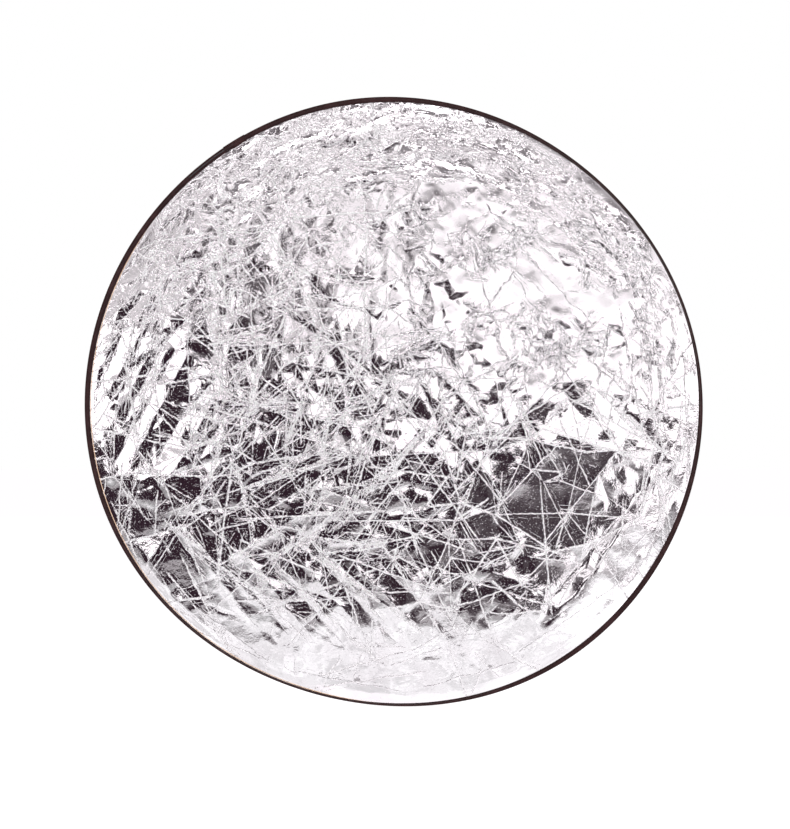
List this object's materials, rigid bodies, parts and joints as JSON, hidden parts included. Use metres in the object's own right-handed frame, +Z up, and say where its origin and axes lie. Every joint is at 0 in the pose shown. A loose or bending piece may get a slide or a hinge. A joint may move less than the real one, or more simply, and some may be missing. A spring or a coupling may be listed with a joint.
{
  "type": "collapsible reflector disc",
  "caption": "Round sprung light reflector: a spring-steel hoop in a folded black edge tape, stretching a crinkled silver panel in front and a gold panel behind.",
  "frame": {"origin": "centre of the hoop, midway between the front and back panels", "axes": "+Z up; the disc stands upright in the XZ plane with its silver side looking along -Y and its gold side along +Y"},
  "size_m": [0.6, 0.0074, 0.6],
  "materials": {
    "spring_steel": "satin",
    "rivet_steel": "satin",
    "wrap_cloth": "matte",
    "edge_tape": "matte",
    "thread": "satin",
    "overlock_thread": "matte",
    "silver_fabric": "gloss",
    "gold_fabric": "gloss"
  },
  "bodies": {
    "left_half": {"band_top_left": "spring_steel", "band_bottom_left": "spring_steel", "splice_rivets": "rivet_steel", "splice_wrap": "wrap_cloth", "edge_tape_left": "edge_tape", "edge_tape_lap": "edge_tape", "lap_bartack": "thread", "silver_panel_left": "silver_fabric", "gold_panel_left": "gold_fabric", "panel_overlock_left": "overlock_thread", "front_stitching_left": "thread", "rear_stitching_left": "thread"},
    "right_half": {"band_right": "spring_steel", "edge_tape_right": "edge_tape", "silver_panel_right": "silver_fabric", "gold_panel_right": "gold_fabric", "panel_overlock_right": "overlock_thread", "front_stitching_right": "thread", "rear_stitching_right": "thread"}
  },
  "joints": [
    {"name": "bow_flex", "type": "hinge", "parent": "left_half", "child": "right_half", "pos_m": [0, 0, 0], "axis": [0, 0, 1], "range_deg": [-60, 60], "stiffness_Nm_per_rad": 1.5}
  ]
}
